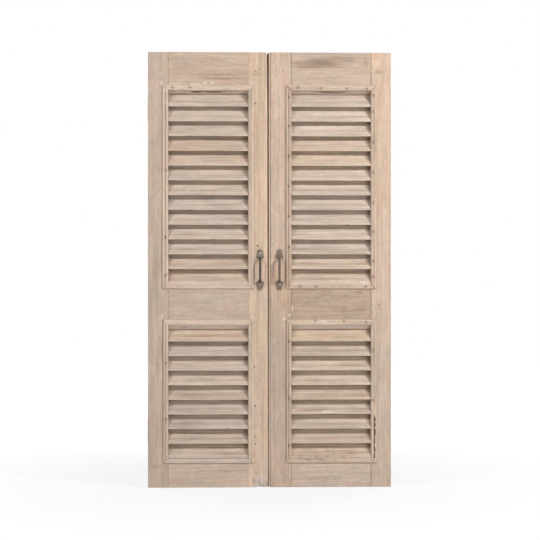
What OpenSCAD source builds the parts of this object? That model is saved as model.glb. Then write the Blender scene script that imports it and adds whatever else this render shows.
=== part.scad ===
// Vented window shutter: two louvred leaves that swing on a slim hanging frame.
// The frame lies against the wall, and the closed leaves cover it.
// X runs to the right, Y runs into the wall and Z runs up, in millimetres.
// The origin lies on the wall plane, in the middle of the four wall fixings.

/* [Leaves] */
// Thickness of the stiles and rails
leaf_t = 36; // [34:1:44]
// Width of the stile that carries the hinges
hinge_stile_w = 65; // [58:1:90]
// Width of the left leaf's meeting stile
left_meeting_stile_w = 62; // [58:1:90]
// Width of the right leaf's meeting stile
right_meeting_stile_w = 73; // [70:1:95]
// Clear width between the two stiles of a leaf
opening_w = 257; // [180:1:400]
// Gap between the two closed leaves
meeting_gap = 4; // [3:0.5:10]
// Height of the top rail
top_rail_h = 124; // [80:1:160]
// Height of the rail between the two louvre banks
mid_rail_h = 133; // [80:1:180]
// Height of the bottom rail
bottom_rail_h = 94; // [80:1:180]
// Thickness of the lip that closes the gap from behind
lip_t = 14; // [8:1:18]
// Play between that lip, on the right leaf, and the left leaf
lip_play = 0.8; // [0.6:0.1:2]
// Distance from the right leaf's meeting edge to its scratched line
edge_line_inset = 4.5; // [3:0.5:10]
// Width of the scratched line
edge_line_w = 1.6; // [1:0.1:3]
// Depth of the scratched line
edge_line_d = 3; // [1:0.5:5]

/* [Louvres] */
// Number of slats in the upper bank
upper_slat_count = 13; // [6:1:18]
// Number of slats in the lower bank
lower_slat_count = 9; // [4:1:14]
// Height from one slat to the next in the upper bank
upper_slat_pitch = 47.5; // [42:0.1:50]
// Height from one slat to the next in the lower bank
lower_slat_pitch = 46.9; // [42:0.1:50]
// Width of a slat along its slope
slat_w = 59; // [58:0.5:62]
// Thickness of a slat
slat_t = 7.5; // [7:0.5:9]
// Lean of a slat from upright, in degrees
slat_lean = 30; // [24:1:31]
// How far a slat's front edge stands out of the stile's face
slat_proud = 6.5; // [4:0.5:7]
// Depth of the slanted slat housings in the stiles
housing_depth = 8; // [5:0.5:12]
// Play between a slat and the walls of its housing
slat_play = 0.2; // [0.1:0.05:0.4]
// Gap between a bank's end slats and the rails
bank_gap = 0.5; // [0.4:0.1:1]

/* [Bead moulding] */
// Width of the round nose beside the opening
nose_w = 9; // [7:0.5:12]
// Height of the nose above the stile's face
nose_h = 7; // [6:0.5:10]
// Width of the groove between the nose and the band
groove_w = 1; // [0.6:0.1:2]
// Height of the wood left under that groove
groove_floor = 3.5; // [1:0.1:4]
// Width of the flat band outside the groove
band_w = 8; // [6:0.5:12]
// Height of the band above the stile's face
band_h = 4.5; // [3.5:0.5:6]
// Radius along the band's outer edge
band_round = 2.5; // [1:0.5:3]
// Play across a mitre
mitre_play = 0.1; // [0.05:0.05:0.4]

/* [Leaf joints] */
// Thickness of a rail's tenon
tenon_t = 12; // [9:0.5:14]
// Length of a rail's tenon
tenon_l = 42; // [34:1:50]
// Shoulder above and below a rail's tenon
tenon_shoulder = 14; // [8:1:20]
// Play of a tenon in its mortise
tenon_play = 0.15; // [0.05:0.05:0.3]
// Diameter of the wooden pegs through the tenons
peg_d = 8; // [6:0.5:10]
// Distance from a rail's shoulder to its peg
peg_inset = 26; // [18:1:30]
// Play of a peg in its hole
peg_play = 0.1; // [0.05:0.05:0.3]

/* [Pulls] */
// Length of a pull over both spade ends
pull_l = 133; // [120:1:160]
// Length of a spade end
spade_l = 32; // [30:1:36]
// Width of a spade end over its pointed shoulders
spade_w = 26; // [22:1:30]
// Height of those shoulders
shoulder_h = 16; // [14:0.5:20]
// Width of the round tongue of a spade end
tongue_w = 16.5; // [14:0.5:20]
// Thickness of a spade end
spade_t = 3; // [2:0.5:4]
// Diameter of the grip at its ends
grip_d = 7; // [6:0.5:9]
// Diameter of the grip at its middle
grip_mid_d = 8.4; // [7:0.2:10]
// Diameter of the rounded bends between the grip and the necks
bend_d = 7.8; // [7:0.2:10]
// Diameter of a neck where it leaves its spade end
neck_root_d = 9.5; // [8:0.5:12]
// Distance from the stile's face to the middle of the grip
grip_stand = 18; // [16:1:30]
// Distance from a pull's end to the nail
pull_nail_inset = 14; // [12:0.5:16]
// Height of a pull's lower nail above the middle rail's tenon
nail_over_tenon = 7.5; // [5:0.5:12]
// Distance from a pull's end to the root of its neck
neck_inset = 26; // [24:0.5:27]
// Rake of a neck, along the height of the pull
neck_rake = 12; // [6:1:16]
// Distance from the left leaf's meeting edge to its pull
left_pull_inset = 23.5; // [18:0.5:26]
// Distance from the right leaf's meeting edge to its pull
right_pull_inset = 34.5; // [22:0.5:38]
// Diameter of a pull nail's shank
pull_nail_d = 4; // [3:0.5:5]
// Diameter of a pull nail's domed head
nail_head_d = 9; // [7:0.5:10]
// Height of that head
nail_head_h = 2.6; // [2:0.2:4]
// Depth that a pull nail goes into the stile
nail_depth = 24; // [15:1:28]
// Play of a nail or screw in its hole
shank_play = 0.1; // [0.05:0.05:0.2]

/* [Hanging frame] */
// Width of a jamb
jamb_w = 46; // [42:1:70]
// Height of the frame's head
head_h = 46; // [36:1:80]
// Height of the frame's sill
sill_h = 46; // [36:1:80]
// Depth of the frame from the wall
frame_d = 40; // [34:1:60]
// Gap between the frame and the back of the leaves
leaf_clear = 3; // [2.5:0.5:6]
// How far the frame's ends lie inside the ends of the leaves
frame_end_inset = 6; // [0:1:20]
// Thickness of the frame's tenons
frame_tenon_t = 16; // [12:1:20]
// Length of the frame's tenons
frame_tenon_l = 34; // [24:1:38]
// Shoulder above and below a frame tenon
frame_shoulder = 8; // [5:1:12]
// Diameter of the pegs in the frame's corners
frame_peg_d = 10; // [8:0.5:12]
// Distance from a frame shoulder to its peg
frame_peg_inset = 18; // [14:1:20]
// Diameter of the wall fixing holes
wall_hole_d = 8; // [6:0.5:12]
// Distance from a jamb's end to its wall fixing hole
wall_hole_inset = 80; // [65:1:100]

/* [Hinges] */
// Length of a hinge
hinge_l = 76; // [60:1:110]
// Distance from a leaf's end to the middle of its hinge
hinge_inset = 180; // [150:1:240]
// Width of a hinge plate, from the pin's axis
plate_w = 27; // [22:0.5:34]
// Thickness of a hinge plate
plate_t = 2; // [1.6:0.1:2.4]
// Diameter of the knuckles
knuckle_d = 8; // [7.4:0.1:9]
// Number of knuckles, shared by the two plates
knuckle_count = 5; // [3:2:7]
// Gap between knuckles, and from a knuckle to what it turns past
knuckle_gap = 0.4; // [0.3:0.1:0.6]
// Diameter of the pin
pin_d = 4.6; // [4:0.1:5]
// Play of the pin in the knuckles
pin_play = 0.05; // [0.02:0.01:0.08]
// Height of each pin head
pin_head_h = 2; // [1.5:0.5:3]
// Distance from the pin's axis to the outer edge of the leaf
edge_cover = 1.6; // [1.2:0.1:1.8]
// Diameter of a hinge screw's shank
screw_d = 3.5; // [3:0.5:4]
// Diameter of a hinge screw's sunk head
screw_head_d = 7; // [6:0.5:8]
// Length of a hinge screw
screw_l = 22; // [16:1:26]
// Height from one hinge screw to the next
screw_pitch = 26; // [18:1:30]
// Distance from the pin's axis to the row of screws
screw_row = 16; // [13:0.5:18]

/* [Hidden] */
LEFT = -1;
RIGHT = 1;
$fn = 48;
cut = 1;

wood_stile = "#d3bba4";
wood_rail = "#cfb59c";
wood_slat = "#cbbaa6";
wood_bead = "#d0baa4";
wood_peg = "#b59a7c";
wood_frame = "#c2ae97";
iron_pull = "#4b433c";
iron_hinge = "#6c645c";

slat_rise = slat_w * cos(slat_lean);
slat_level_t = slat_t / cos(slat_lean);
function bank_h(count, pitch) = (count - 1) * pitch + slat_rise + 2 * bank_gap;
upper_bank_h = bank_h(upper_slat_count, upper_slat_pitch);
lower_bank_h = bank_h(lower_slat_count, lower_slat_pitch);

function meeting_stile_w(side) = side == LEFT ? left_meeting_stile_w : right_meeting_stile_w;
function leaf_w(side) = hinge_stile_w + opening_w + meeting_stile_w(side);
function pull_inset(side) = side == LEFT ? left_pull_inset : right_pull_inset;
pair_w = leaf_w(LEFT) + meeting_gap + leaf_w(RIGHT);
leaf_h = bottom_rail_h + lower_bank_h + mid_rail_h + upper_bank_h + top_rail_h;

leaf_back = -frame_d - leaf_clear;
leaf_front = leaf_back - leaf_t;
leaf_mid = leaf_front + leaf_t / 2;
bottom_rail_z = -leaf_h / 2;
lower_bank_z = bottom_rail_z + bottom_rail_h;
mid_rail_z = lower_bank_z + lower_bank_h;
upper_bank_z = mid_rail_z + mid_rail_h;
top_rail_z = upper_bank_z + upper_bank_h;
rails = [[bottom_rail_z, bottom_rail_h], [mid_rail_z, mid_rail_h], [top_rail_z, top_rail_h]];
banks = [
    [lower_bank_z, lower_bank_h, lower_slat_count, lower_slat_pitch],
    [upper_bank_z, upper_bank_h, upper_slat_count, upper_slat_pitch]
];

nose_r = nose_w / 2;
bead_w = nose_w + groove_w + band_w;

knuckle_r = knuckle_d / 2;
axis_set = knuckle_r - plate_t;
axis_u = edge_cover;
axis_y = leaf_back + axis_set;
knuckle_room = knuckle_r + knuckle_gap;
knuckle_pitch = (hinge_l + knuckle_gap) / knuckle_count;
hinge_zs = [for (end = [-1, 1]) end * (leaf_h / 2 - hinge_inset)];
screw_zs = [for (step = [-1, 0, 1]) step * screw_pitch];

jamb_u = axis_u + axis_set;
frame_h = leaf_h - 2 * frame_end_inset;
frame_inner_w = pair_w - 2 * (jamb_u + jamb_w);
sill_z = -frame_h / 2;
head_z = frame_h / 2 - head_h;
crosspieces = [[sill_z, sill_h], [head_z, head_h]];

shoulder_r = (spade_w * spade_w + shoulder_h * shoulder_h) / (4 * shoulder_h);
shoulder_z = pull_l / 2 - spade_l + shoulder_h / 2;
tongue_z = pull_l / 2 - tongue_w / 2;
neck_root_z = pull_l / 2 - neck_inset;
bend_z = neck_root_z - neck_rake;
pull_nail_z = pull_l / 2 - pull_nail_inset;
pull_nail_zs = [-pull_nail_z, pull_nail_z];
pull_z = upper_bank_z - tenon_shoulder + nail_over_tenon + pull_nail_z;

// Each half is drawn as the left one, with u along X from the pair's outer edge. The right one is mirrored.
module on_side(side) {
    if (side == LEFT) translate([-pair_w / 2, 0, 0]) children();
    else mirror([1, 0, 0]) translate([-pair_w / 2, 0, 0]) children();
}

module box_between(low, high) {
    translate(low) cube(high - low);
}

// Draws what is made along +X so that it goes into the wood of a stile from its inner edge at u.
module into_stile(u, forward) {
    translate([u, 0, 0])
        if (forward) children();
        else mirror([1, 0, 0]) children();
}

// Runs a flat outline, given as [y, z], along X.
module along_x(length) {
    rotate([90, 0, 90]) linear_extrude(length) children();
}

module along_y(y, length, radius) {
    translate([0, y, 0]) rotate([-90, 0, 0]) cylinder(h = length, r = radius);
}

module rod(start, end, start_r, end_r) {
    run = end - start;
    translate(start)
        rotate([0, acos(run.z / norm(run)), atan2(run.y, run.x)])
            cylinder(h = norm(run), r1 = start_r, r2 = end_r);
}

// A slat's section leans back from its front bottom edge at [0, 0], with its long edges cut level.
module slat_section(grow = 0) {
    slope = tan(slat_lean);
    front = -grow / cos(slat_lean);
    back = slat_level_t - front;
    low = -grow;
    high = slat_rise + grow;
    polygon([
        [front + low * slope, low], [front + high * slope, high],
        [back + high * slope, high], [back + low * slope, low]
    ]);
}

// The end of a slat that lies in its housing stops short of the bead over it.
module slat_tongue_section() {
    slope = tan(slat_lean);
    face = slat_proud + slat_play;
    polygon([
        [face, 0], [face, face / slope], [slat_rise * slope, slat_rise],
        [slat_level_t + slat_rise * slope, slat_rise], [slat_level_t, 0]
    ]);
}

module at_slats(bank) {
    for (i = [0 : bank[2] - 1])
        translate([0, leaf_front - slat_proud, bank[0] + bank_gap + i * bank[3]]) children();
}

module slat() {
    tongue = housing_depth - slat_play;
    union() {
        translate([hinge_stile_w - tongue, 0, 0]) along_x(opening_w + 2 * tongue) slat_tongue_section();
        translate([hinge_stile_w + slat_play, 0, 0]) along_x(opening_w - 2 * slat_play) slat_section();
    }
}

module slats(side, bank) {
    color(wood_slat) on_side(side) at_slats(bank) slat();
}

// Mortises, peg holes and slat housings, cut into a stile along +X from its inner edge.
module stile_joints() {
    for (rail = rails) {
        box_between(
            [-cut, leaf_mid - tenon_t / 2 - tenon_play, rail[0] + tenon_shoulder - tenon_play],
            [tenon_l + tenon_play, leaf_mid + tenon_t / 2 + tenon_play,
                rail[0] + rail[1] - tenon_shoulder + tenon_play]
        );
        translate([peg_inset, 0, rail[0] + rail[1] / 2])
            along_y(leaf_front - cut, leaf_t + 2 * cut, peg_d / 2 + peg_play);
    }
    for (bank = banks)
        at_slats(bank) translate([-cut, 0, 0]) along_x(housing_depth + cut) slat_section(slat_play);
}

module stile_board(u, width) {
    box_between([u, leaf_front, -leaf_h / 2], [u + width, leaf_back, leaf_h / 2]);
}

// The recess for a hinge plate in the back of a leaf, with room for the knuckles, and its screw holes.
module leaf_hinge_recess() {
    for (z = hinge_zs) translate([axis_u, 0, z]) {
        box_between([-axis_u - cut, leaf_back - plate_t, -hinge_l / 2 - knuckle_gap],
            [plate_w + knuckle_gap, leaf_back + cut, hinge_l / 2 + knuckle_gap]);
        box_between([-axis_u - cut, axis_y - knuckle_room, -hinge_l / 2 - knuckle_room - pin_head_h],
            [knuckle_room, leaf_back + cut, hinge_l / 2 + knuckle_room + pin_head_h]);
        for (step = screw_zs) translate([screw_row, 0, step])
            along_y(leaf_back - screw_l - shank_play, screw_l, screw_d / 2 + shank_play);
    }
}

module hinge_stile(side) {
    color(wood_stile) on_side(side) difference() {
        stile_board(0, hinge_stile_w);
        into_stile(hinge_stile_w, false) stile_joints();
        leaf_hinge_recess();
    }
}

module at_pull(side) {
    translate([leaf_w(side) - pull_inset(side), leaf_front, pull_z]) children();
}

module meeting_stile(side) {
    inner = hinge_stile_w + opening_w;
    line = leaf_w(side) - edge_line_inset;
    color(wood_stile) on_side(side) difference() {
        union() {
            stile_board(inner, meeting_stile_w(side));
            if (side == RIGHT) box_between([line, leaf_back - lip_t, -leaf_h / 2],
                [leaf_w(side) + meeting_gap - lip_play, leaf_back, leaf_h / 2]);
        }
        into_stile(inner, true) stile_joints();
        at_pull(side) for (z = pull_nail_zs) translate([0, 0, z])
            along_y(-cut, nail_depth + shank_play + cut, pull_nail_d / 2 + shank_play);
        if (side == RIGHT) box_between([line - edge_line_w, leaf_front - cut, -leaf_h / 2 - cut],
            [line, leaf_front + edge_line_d, leaf_h / 2 + cut]);
    }
}

module leaf_rail(side, rail) {
    inner = hinge_stile_w + opening_w;
    color(wood_rail) on_side(side) difference() {
        union() {
            box_between([hinge_stile_w, leaf_front, rail[0]], [inner, leaf_back, rail[0] + rail[1]]);
            box_between(
                [hinge_stile_w - tenon_l, leaf_mid - tenon_t / 2, rail[0] + tenon_shoulder],
                [inner + tenon_l, leaf_mid + tenon_t / 2, rail[0] + rail[1] - tenon_shoulder]
            );
        }
        for (u = [hinge_stile_w - peg_inset, inner + peg_inset]) translate([u, 0, rail[0] + rail[1] / 2])
            along_y(leaf_front, leaf_t, peg_d / 2 + peg_play);
    }
}

module tenon_pegs(side) {
    color(wood_peg) on_side(side)
        for (rail = rails, u = [hinge_stile_w - peg_inset, hinge_stile_w + opening_w + peg_inset])
            translate([u, 0, rail[0] + rail[1] / 2]) along_y(leaf_front, leaf_t, peg_d / 2);
}

// The moulding's section, as [y, z]: the nose stands beside the opening at z = 0, the band outside it.
module bead_section() {
    difference() {
        union() {
            translate([nose_r - nose_h, nose_r]) circle(nose_r);
            translate([nose_r - nose_h, 0]) square([nose_h - nose_r, nose_w]);
            translate([-groove_floor, nose_r]) square([groove_floor, nose_r + groove_w + band_w / 2]);
            translate([-band_h, nose_w + groove_w]) square([band_h, band_w - band_round]);
            translate([band_round - band_h, bead_w - band_round]) circle(band_round);
            translate([band_round - band_h, nose_w + groove_w]) square([band_h - band_round, band_w]);
        }
        translate([0, -cut]) square([nose_h, bead_w + 2 * cut]);
    }
}

// Cuts away what lies past the mitre through a bead's inner corner at X = 0.
module mitre() {
    past = bead_w + cut;
    gap = mitre_play / sqrt(2);
    translate([0, cut, 0]) rotate([90, 0, 0]) linear_extrude(nose_h + 2 * cut)
        polygon([[-past, past + gap], [-past, -cut], [cut + gap, -cut]]);
}

// A bead along +X, with its inner edge from [0, 0] to [length, 0] and its outer edge above.
module bead_stick(length) {
    difference() {
        translate([-bead_w, 0, 0]) along_x(length + 2 * bead_w) bead_section();
        mitre();
        translate([length, 0, 0]) mirror([1, 0, 0]) mitre();
    }
}

// The four beads of an opening go round it clockwise: top, meeting side, bottom, hinge side.
module bead(side, bank, turn) {
    height = bank[1];
    inner = hinge_stile_w + opening_w;
    starts = [
        [hinge_stile_w, bank[0] + height], [inner, bank[0] + height],
        [inner, bank[0]], [hinge_stile_w, bank[0]]
    ];
    start = starts[turn];
    color(wood_bead) on_side(side) translate([start[0], leaf_front, start[1]])
        rotate([0, 90 * turn, 0]) bead_stick(turn % 2 == 0 ? opening_w : height);
}

// The upper spade end, hammered flat: pointed shoulders that taper to a round tongue above them.
module spade() {
    tongue_r = tongue_w / 2;
    rotate([90, 0, 0]) linear_extrude(spade_t) union() {
        intersection_for (way = [-1, 1]) translate([0, shoulder_z + way * (shoulder_r - shoulder_h / 2)])
            circle(shoulder_r);
        polygon([
            [-spade_w / 2, shoulder_z], [spade_w / 2, shoulder_z], [tongue_r, tongue_z], [-tongue_r, tongue_z]
        ]);
        translate([0, tongue_z]) circle(tongue_r);
    }
}

// The grip swells from its ends to its middle.
module grip(reach) {
    rotate_extrude() polygon([
        [0, -reach], [grip_d / 2, -reach], [grip_mid_d / 2, 0], [grip_d / 2, reach], [0, reach]
    ]);
}

// The upper end of a pull: the spade, its nail hole, and the neck that leans out to the grip.
module pull_end() {
    translate([0, -grip_stand, bend_z]) sphere(bend_d / 2);
    difference() {
        union() {
            spade();
            rod([0, 0, neck_root_z], [0, -grip_stand, bend_z], neck_root_d / 2, grip_d / 2);
        }
        translate([0, 0, pull_nail_z])
            along_y(-spade_t - cut, spade_t + 2 * cut, pull_nail_d / 2 + shank_play);
        box_between([-spade_w, 0, 0], [spade_w, neck_root_d, pull_l]);
    }
}

module pull(side) {
    color(iron_pull) on_side(side) at_pull(side) union() {
        translate([0, -grip_stand, 0]) grip(bend_z);
        pull_end();
        mirror([0, 0, 1]) pull_end();
    }
}

// A forged nail with a low domed head that holds a spade end down.
module pull_nail() {
    head_r = nail_head_d / 2;
    dome_r = (head_r * head_r + nail_head_h * nail_head_h) / (2 * nail_head_h);
    union() {
        along_y(-spade_t, spade_t + nail_depth, pull_nail_d / 2);
        intersection() {
            translate([0, -spade_t - nail_head_h + dome_r, 0]) sphere(dome_r);
            along_y(-spade_t - nail_head_h - cut, nail_head_h + cut, head_r);
        }
    }
}

module pull_nails(side) {
    color(iron_pull) on_side(side) at_pull(side) for (z = pull_nail_zs) translate([0, 0, z]) pull_nail();
}

// The knuckles of one plate, every second one from the first given, with the bore for the pin.
module knuckles(first) {
    for (i = [first : 2 : knuckle_count - 1])
        translate([0, 0, i * knuckle_pitch - hinge_l / 2])
            cylinder(h = knuckle_pitch - knuckle_gap, r = knuckle_r);
}

module pin_bore() {
    translate([0, 0, -hinge_l / 2 - cut]) cylinder(h = hinge_l + 2 * cut, r = pin_d / 2 + pin_play);
}

// A sunk screw along +Z, with its flat head at z = 0, and the hole that takes it.
module sunk_screw(play = 0) {
    union() {
        translate([0, 0, plate_t / 2]) cylinder(h = screw_l - plate_t / 2, r = screw_d / 2 + play);
        cylinder(h = plate_t, r1 = screw_head_d / 2 + play, r2 = screw_d / 2 + play);
    }
}

// A plate drawn along +X, with the pin's axis at the origin and its outer face at the given y.
module hinge_plate(first, outer_y) {
    y = [outer_y - plate_t, outer_y];
    difference() {
        union() {
            knuckles(first);
            box_between([knuckle_room, y[0], -hinge_l / 2], [plate_w, y[1], hinge_l / 2]);
            for (i = [first : 2 : knuckle_count - 1])
                translate([0, 0, i * knuckle_pitch - hinge_l / 2]) box_between([0, y[0], 0],
                    [knuckle_room + cut, y[1], knuckle_pitch - knuckle_gap]);
        }
        pin_bore();
        for (step = screw_zs) translate([screw_row, outer_y, step]) rotate([90, 0, 0]) sunk_screw(shank_play);
    }
}

module hinge_leaf_plate(side, z) {
    color(iron_hinge) on_side(side) translate([axis_u, axis_y, z]) hinge_plate(1, -axis_set);
}

// The frame's plate is drawn the same way and lies along the jamb's outer side.
module hinge_frame_plate(side, z) {
    color(iron_hinge) on_side(side) translate([axis_u, axis_y, z]) rotate([0, 0, 90]) hinge_plate(0, -axis_set);
}

module hinge_pin(side, z) {
    head_z = hinge_l / 2 + knuckle_gap / 2;
    color(iron_hinge) on_side(side) translate([axis_u, axis_y, z]) union() {
        translate([0, 0, -head_z]) cylinder(h = 2 * head_z, r = pin_d / 2);
        translate([0, 0, head_z]) cylinder(h = pin_head_h, r1 = knuckle_r, r2 = pin_d / 2);
        translate([0, 0, -head_z - pin_head_h]) cylinder(h = pin_head_h, r1 = pin_d / 2, r2 = knuckle_r);
    }
}

module hinge_screws(side) {
    color(iron_hinge) on_side(side) for (z = hinge_zs, step = screw_zs)
        translate([axis_u + screw_row, leaf_back, z + step]) rotate([90, 0, 0]) sunk_screw();
}

module frame_hinge_screws() {
    color(iron_hinge) for (side = [LEFT, RIGHT]) on_side(side) for (z = hinge_zs, step = screw_zs)
        translate([jamb_u, axis_y + screw_row, z + step]) rotate([0, 90, 0]) sunk_screw();
}

// The recess for a hinge plate in a jamb's outer side, with room for the knuckles, and its screw holes.
module jamb_hinge_recess() {
    for (z = hinge_zs) translate([jamb_u, axis_y, z]) {
        box_between([-cut, -leaf_clear, -hinge_l / 2 - knuckle_gap],
            [plate_t, plate_w + knuckle_gap, hinge_l / 2 + knuckle_gap]);
        box_between([-cut, -leaf_clear, -hinge_l / 2 - knuckle_room - pin_head_h],
            [knuckle_room - axis_set, knuckle_room, hinge_l / 2 + knuckle_room + pin_head_h]);
        for (step = screw_zs) translate([0, screw_row, step]) rotate([0, 90, 0])
            cylinder(h = screw_l + shank_play, r = screw_d / 2 + shank_play);
    }
}

module frame_jamb(side) {
    inner = jamb_u + jamb_w;
    color(wood_frame) on_side(side) difference() {
        box_between([jamb_u, -frame_d, -frame_h / 2], [inner, 0, frame_h / 2]);
        for (piece = crosspieces) {
            box_between(
                [inner - frame_tenon_l - tenon_play, -(frame_d + frame_tenon_t) / 2 - tenon_play,
                    piece[0] + frame_shoulder - tenon_play],
                [inner + cut, -(frame_d - frame_tenon_t) / 2 + tenon_play,
                    piece[0] + piece[1] - frame_shoulder + tenon_play]
            );
            translate([inner - frame_peg_inset, 0, piece[0] + piece[1] / 2])
                along_y(-frame_d - cut, frame_d + 2 * cut, frame_peg_d / 2 + peg_play);
        }
        for (end = [-1, 1]) translate([jamb_u + jamb_w / 2, 0, end * (frame_h / 2 - wall_hole_inset)])
            along_y(-frame_d - cut, frame_d + 2 * cut, wall_hole_d / 2);
        jamb_hinge_recess();
    }
}

module frame_crosspiece(piece) {
    half = frame_inner_w / 2;
    color(wood_frame) difference() {
        union() {
            box_between([-half, -frame_d, piece[0]], [half, 0, piece[0] + piece[1]]);
            box_between(
                [-half - frame_tenon_l, -(frame_d + frame_tenon_t) / 2, piece[0] + frame_shoulder],
                [half + frame_tenon_l, -(frame_d - frame_tenon_t) / 2, piece[0] + piece[1] - frame_shoulder]
            );
        }
        for (way = [-1, 1]) translate([way * (half + frame_peg_inset), 0, piece[0] + piece[1] / 2])
            along_y(-frame_d, frame_d, frame_peg_d / 2 + peg_play);
    }
}

module frame_pegs() {
    color(wood_peg) for (piece = crosspieces, way = [-1, 1])
        translate([way * (frame_inner_w / 2 + frame_peg_inset), 0, piece[0] + piece[1] / 2])
            along_y(-frame_d, frame_d, frame_peg_d / 2);
}

frame_jamb(LEFT);  // frame_left_jamb
frame_jamb(RIGHT);  // frame_right_jamb
frame_crosspiece(crosspieces[1]);  // frame_head
frame_crosspiece(crosspieces[0]);  // frame_sill
frame_pegs();
hinge_frame_plate(LEFT, hinge_zs[1]);  // left_upper_hinge_frame_plate
hinge_frame_plate(LEFT, hinge_zs[0]);  // left_lower_hinge_frame_plate
hinge_frame_plate(RIGHT, hinge_zs[1]);  // right_upper_hinge_frame_plate
hinge_frame_plate(RIGHT, hinge_zs[0]);  // right_lower_hinge_frame_plate
hinge_pin(LEFT, hinge_zs[1]);  // left_upper_hinge_pin
hinge_pin(LEFT, hinge_zs[0]);  // left_lower_hinge_pin
hinge_pin(RIGHT, hinge_zs[1]);  // right_upper_hinge_pin
hinge_pin(RIGHT, hinge_zs[0]);  // right_lower_hinge_pin
frame_hinge_screws();

hinge_stile(LEFT);  // left_hinge_stile
meeting_stile(LEFT);  // left_meeting_stile
leaf_rail(LEFT, rails[2]);  // left_top_rail
leaf_rail(LEFT, rails[1]);  // left_mid_rail
leaf_rail(LEFT, rails[0]);  // left_bottom_rail
slats(LEFT, banks[1]);  // left_upper_slats
slats(LEFT, banks[0]);  // left_lower_slats
bead(LEFT, banks[1], 0);  // left_upper_top_bead
bead(LEFT, banks[1], 1);  // left_upper_meeting_bead
bead(LEFT, banks[1], 2);  // left_upper_bottom_bead
bead(LEFT, banks[1], 3);  // left_upper_hinge_bead
bead(LEFT, banks[0], 0);  // left_lower_top_bead
bead(LEFT, banks[0], 1);  // left_lower_meeting_bead
bead(LEFT, banks[0], 2);  // left_lower_bottom_bead
bead(LEFT, banks[0], 3);  // left_lower_hinge_bead
pull(LEFT);  // left_pull
pull_nails(LEFT);  // left_pull_nails
tenon_pegs(LEFT);  // left_tenon_pegs
hinge_leaf_plate(LEFT, hinge_zs[1]);  // left_upper_hinge_leaf_plate
hinge_leaf_plate(LEFT, hinge_zs[0]);  // left_lower_hinge_leaf_plate
hinge_screws(LEFT);  // left_hinge_screws

hinge_stile(RIGHT);  // right_hinge_stile
meeting_stile(RIGHT);  // right_meeting_stile
leaf_rail(RIGHT, rails[2]);  // right_top_rail
leaf_rail(RIGHT, rails[1]);  // right_mid_rail
leaf_rail(RIGHT, rails[0]);  // right_bottom_rail
slats(RIGHT, banks[1]);  // right_upper_slats
slats(RIGHT, banks[0]);  // right_lower_slats
bead(RIGHT, banks[1], 0);  // right_upper_top_bead
bead(RIGHT, banks[1], 1);  // right_upper_meeting_bead
bead(RIGHT, banks[1], 2);  // right_upper_bottom_bead
bead(RIGHT, banks[1], 3);  // right_upper_hinge_bead
bead(RIGHT, banks[0], 0);  // right_lower_top_bead
bead(RIGHT, banks[0], 1);  // right_lower_meeting_bead
bead(RIGHT, banks[0], 2);  // right_lower_bottom_bead
bead(RIGHT, banks[0], 3);  // right_lower_hinge_bead
pull(RIGHT);  // right_pull
pull_nails(RIGHT);  // right_pull_nails
tenon_pegs(RIGHT);  // right_tenon_pegs
hinge_leaf_plate(RIGHT, hinge_zs[1]);  // right_upper_hinge_leaf_plate
hinge_leaf_plate(RIGHT, hinge_zs[0]);  // right_lower_hinge_leaf_plate
hinge_screws(RIGHT);  // right_hinge_screws
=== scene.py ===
# %% [markdown]
# # A vented window shutter in bleached old wood
#
# The real object is a pair of louvred shutter leaves. Each leaf is a frame of stiles and rails with two banks of
# slats, and a thin bead is planted round each bank. The wood was stripped of its paint and bleached, so it is pale,
# dry and streaky, with worn edges, old nail holes and a few flakes of white paint left in the corners.
#
# The shapes come from the CAD model, so this lesson never measures by eye: it copies each solid, wears it, and gives
# it a finish. It could also be modelled from nothing, but then the hinges would no longer meet their recesses.

# %% Load the frame
import math
import random
from itertools import product

import bmesh
import bpy
from mathutils import Matrix, Vector, noise
from mathutils.bvhtree import BVHTree


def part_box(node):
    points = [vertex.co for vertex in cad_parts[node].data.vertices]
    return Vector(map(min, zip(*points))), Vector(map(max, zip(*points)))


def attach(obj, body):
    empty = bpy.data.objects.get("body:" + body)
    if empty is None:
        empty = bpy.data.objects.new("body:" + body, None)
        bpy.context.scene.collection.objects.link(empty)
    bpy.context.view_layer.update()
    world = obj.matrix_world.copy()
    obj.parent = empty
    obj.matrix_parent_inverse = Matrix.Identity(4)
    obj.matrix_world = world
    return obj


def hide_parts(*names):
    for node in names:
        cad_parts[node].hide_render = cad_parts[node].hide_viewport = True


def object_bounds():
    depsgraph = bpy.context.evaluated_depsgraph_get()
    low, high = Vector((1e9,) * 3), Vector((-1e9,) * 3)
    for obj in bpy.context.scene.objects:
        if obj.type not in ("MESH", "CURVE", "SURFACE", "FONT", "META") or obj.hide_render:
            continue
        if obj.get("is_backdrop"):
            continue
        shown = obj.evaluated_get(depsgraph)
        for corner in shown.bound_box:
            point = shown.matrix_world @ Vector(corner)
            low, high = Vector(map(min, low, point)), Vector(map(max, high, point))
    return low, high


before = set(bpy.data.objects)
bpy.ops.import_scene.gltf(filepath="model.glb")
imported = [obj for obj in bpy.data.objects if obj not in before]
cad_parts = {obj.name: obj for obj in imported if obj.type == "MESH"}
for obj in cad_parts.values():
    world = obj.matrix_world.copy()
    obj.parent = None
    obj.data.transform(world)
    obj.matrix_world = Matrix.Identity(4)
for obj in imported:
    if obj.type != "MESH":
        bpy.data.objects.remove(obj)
cad_low, cad_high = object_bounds()
print("CAD box in metres:", [round(side, 4) for side in cad_high - cad_low])

# %% [markdown]
# ## Places that later steps share
#
# Everything sits on four upright joint lines, where the rails meet the stiles, and on one front face. They are read
# from the CAD solids, so that they move if the CAD model changes. Sizes are written in millimetres, as a joiner
# would, and turned into metres by one factor.

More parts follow.
